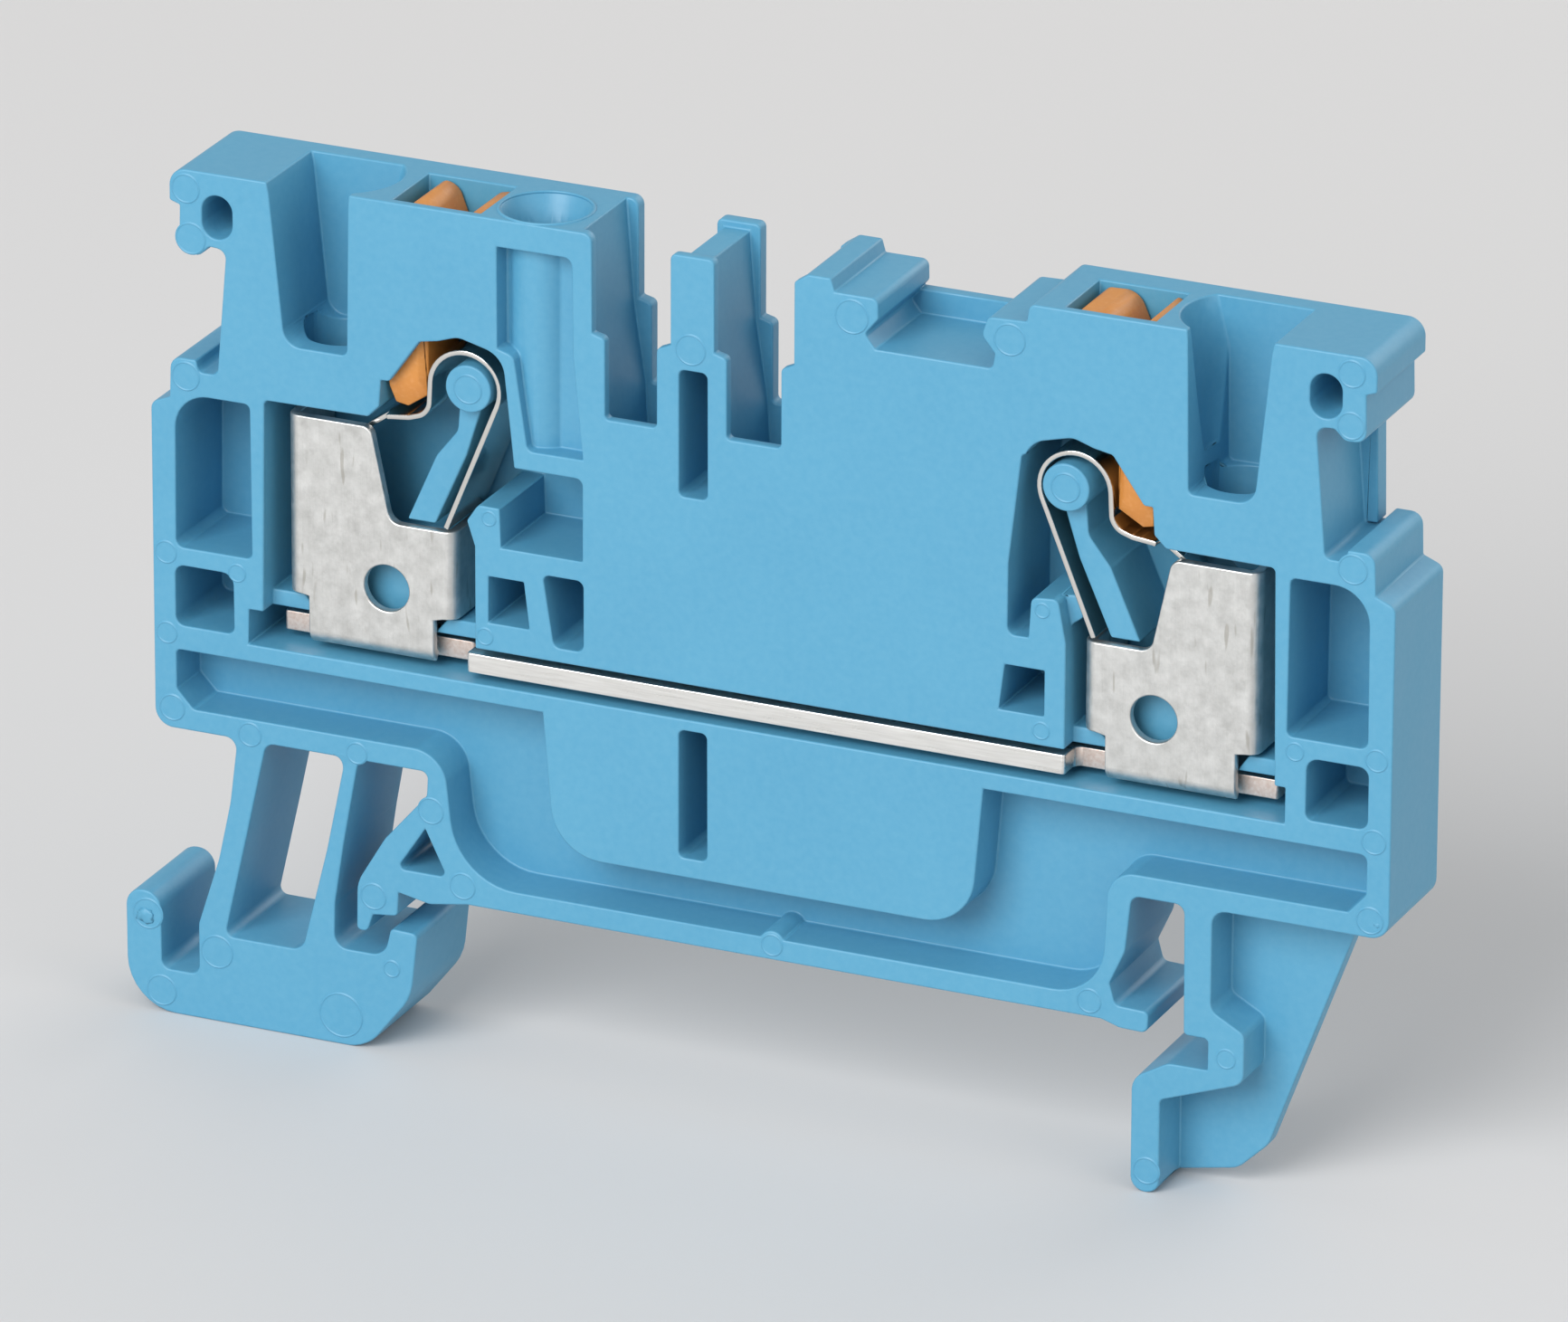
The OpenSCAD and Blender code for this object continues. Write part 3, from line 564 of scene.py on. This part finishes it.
def spring_strip():
    """The left spring as a ribbon without thickness, from its leg's foot to its tongue."""
    shape = bmesh.new()
    angle = math.radians(-22)
    leg = [shape.verts.new((-14.09, STRIP_FRONT, 23.15)),
           shape.verts.new(LOOP + Vector((math.cos(angle), 0, math.sin(angle))) * LOOP_R
                           + Vector((0, STRIP_FRONT, 0)))]
    shape.edges.new(leg)
    loop_end = bmesh.ops.spin(shape, geom=[leg[1]], cent=LOOP, axis=(0, -1, 0),
                              angle=math.radians(198), steps=22)["geom_last"][0]
    for x, z, _ in ARM[1:]:
        next_vert = shape.verts.new((x, STRIP_FRONT, z))
        shape.edges.new((loop_end, next_vert))
        loop_end = next_vert
    grown = bmesh.ops.extrude_edge_only(shape, edges=shape.edges[:])["geom"]
    bmesh.ops.translate(shape, verts=[v for v in grown if isinstance(v, bmesh.types.BMVert)],
                        vec=(0, STRIP_W, 0))
    for before, here, after in zip(ARM, ARM[1:], ARM[2:]):
        a = Vector((here[0] - before[0], here[1] - before[1]))
        b = Vector((after[0] - here[0], after[1] - here[1]))
        bend = [e for e in shape.edges if all(
            math.hypot(v.co.x - here[0], v.co.z - here[1]) < 1e-4 for v in e.verts)]
        bmesh.ops.bevel(shape, geom=bend, offset=here[2] * math.tan(a.angle(b) / 2),
                        affect="EDGES", segments=6, profile=0.5, material=-1, loop_slide=False)
    for vert in shape.verts:
        if vert.co.x < TONGUE_X:
            vert.co.y = TONGUE_FRONT if vert.co.y < 2 else TONGUE_BACK
    return shape


for side, flip in (("left", 1), ("right", -1)):
    ribbon = spring_strip()
    bmesh.ops.scale(ribbon, verts=ribbon.verts, vec=(flip, 1, 1))
    spring = make_piece(side + "_clamping_spring", ribbon, spring_steel)
    wall = spring.modifiers.new("strip", "SOLIDIFY")
    wall.thickness = STRIP / 1000
    wall.offset = 0
    round_edges(spring, ROLLED_EDGE, 2, 40)
    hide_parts(side + "_spring_leg", side + "_clamp_arm")
    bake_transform(spring)


# ---- pushers ----------------------------------------------------------------------------
# A screwdriver on a pusher's head presses the spring open. It slides in the shell, moulded
# in orange polyamide: a head with two humps and a slot, and a stem with a wedge-shaped tip.

# Glass-fibre filled polyamide 6.6: an earthy orange with a slightly waxy surface, mottled
# every 1.4 mm, and pale specks where the fibres of 0.2 mm lie just under the skin.
filled, shader = new_material("glass_filled_polyamide_orange")
shader.inputs["IOR"].default_value = 1.55
where = add_node(filled, "ShaderNodeTexCoord").outputs["Object"]
flow = add_node(filled, "ShaderNodeTexNoise", Vector=where, Scale=0.7 * PER_MM, Detail=4,
                Roughness=0.6)
fibre = add_node(filled, "ShaderNodeTexNoise", Vector=where, Scale=5 * PER_MM, Detail=3)
tone = add_node(filled, "ShaderNodeMix", {"data_type": "RGBA"}, _0=flow.outputs["Fac"],
                _6=linear("#B9722F"), _7=linear("#CF8D42"))
streak = add_node(filled, "ShaderNodeMapRange", Value=fibre.outputs["Fac"], From_Min=0.5,
                  From_Max=0.8, To_Min=0.0, To_Max=0.35)
tone = add_node(filled, "ShaderNodeMix", {"data_type": "RGBA"}, _0=streak.outputs["Result"],
                _6=tone.outputs[2], _7=linear("#D89E66"))
filled.node_tree.links.new(tone.outputs[2], shader.inputs["Base Color"])
waxy = add_node(filled, "ShaderNodeMapRange", Value=flow.outputs["Fac"], From_Min=0.3,
                From_Max=0.7, To_Min=0.36, To_Max=0.55)
filled.node_tree.links.new(waxy.outputs["Result"], shader.inputs["Roughness"])
relief = add_node(filled, "ShaderNodeBump", Height=fibre.outputs["Fac"], Strength=0.4,
                  Distance=0.000015)
filled.node_tree.links.new(relief.outputs["Normal"], shader.inputs["Normal"])

PUSHER_FRONT, PUSHER_BACK = 0.5, 3.65
PUSHER_EDGE = 0.00006
STEM = [(-16.6, 33.7, 0), (-16.6, 29.1, 0), (-16.45, 28.1, 0), (-15.95, 27.95, 0),
        (-14.95, 28.65, 0), (-14.95, 33.7, 0)]
# The tip's slanted faces: a point on each and the way it looks.
WEDGE = [((-15.3, 0.5, 30), (0.62, -0.78, 0.0)), ((-15.6, 0.5, 29.15), (0.1, -0.92, -0.38))]
HEADS = {
    "left": [(-12.55, 33.2, 0), (-12.55, 36.72, 0.15), (-13.15, 36.6, 0.4), (-13.85, 35.3, 0.3),
             (-14.1, 34.9, 0.1), (-14.3, 34.9, 0.1), (-14.55, 35.7, 0.4), (-14.95, 36.75, 0.7),
             (-15.75, 36.75, 0.7), (-16.2, 35.3, 0.5), (-16.2, 33.2, 0)],
    "right": [(-12.9, 33.2, 0), (-12.9, 36.0, 0.2), (-13.2, 36.7, 0.3), (-14.55, 36.75, 0.8),
              (-15.1, 35.5, 0.3), (-15.25, 34.9, 0.1), (-15.55, 34.9, 0.1), (-15.75, 36.0, 0.2),
              (-16.2, 36.75, 0.12), (-16.5, 36.6, 0.12), (-16.5, 33.2, 0)]}

for side, flip in (("left", 1), ("right", -1)):
    moulding = bmesh.new()
    outline(moulding, STEM)
    thicken(moulding, PUSHER_FRONT, PUSHER_BACK)
    for point, away in WEDGE:
        whole = moulding.verts[:] + moulding.edges[:] + moulding.faces[:]
        bmesh.ops.bisect_plane(moulding, geom=whole, plane_co=point, plane_no=away,
                               clear_outer=True)
        bmesh.ops.holes_fill(moulding, edges=[e for e in moulding.edges if e.is_boundary])
    head = bmesh.new()
    outline(head, HEADS[side])
    thicken(head, PUSHER_FRONT, PUSHER_BACK)
    joined = bpy.data.meshes.new("head")
    head.to_mesh(joined)
    head.free()
    moulding.from_mesh(joined)
    bpy.data.meshes.remove(joined)
    bmesh.ops.scale(moulding, verts=moulding.verts, vec=(flip, 1, 1))
    pusher = make_piece(side + "_pusher_moulding", moulding, filled)
    round_edges(pusher, PUSHER_EDGE, 2, 30)
    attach(pusher, side + "_pusher")
    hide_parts(side + "_pusher")
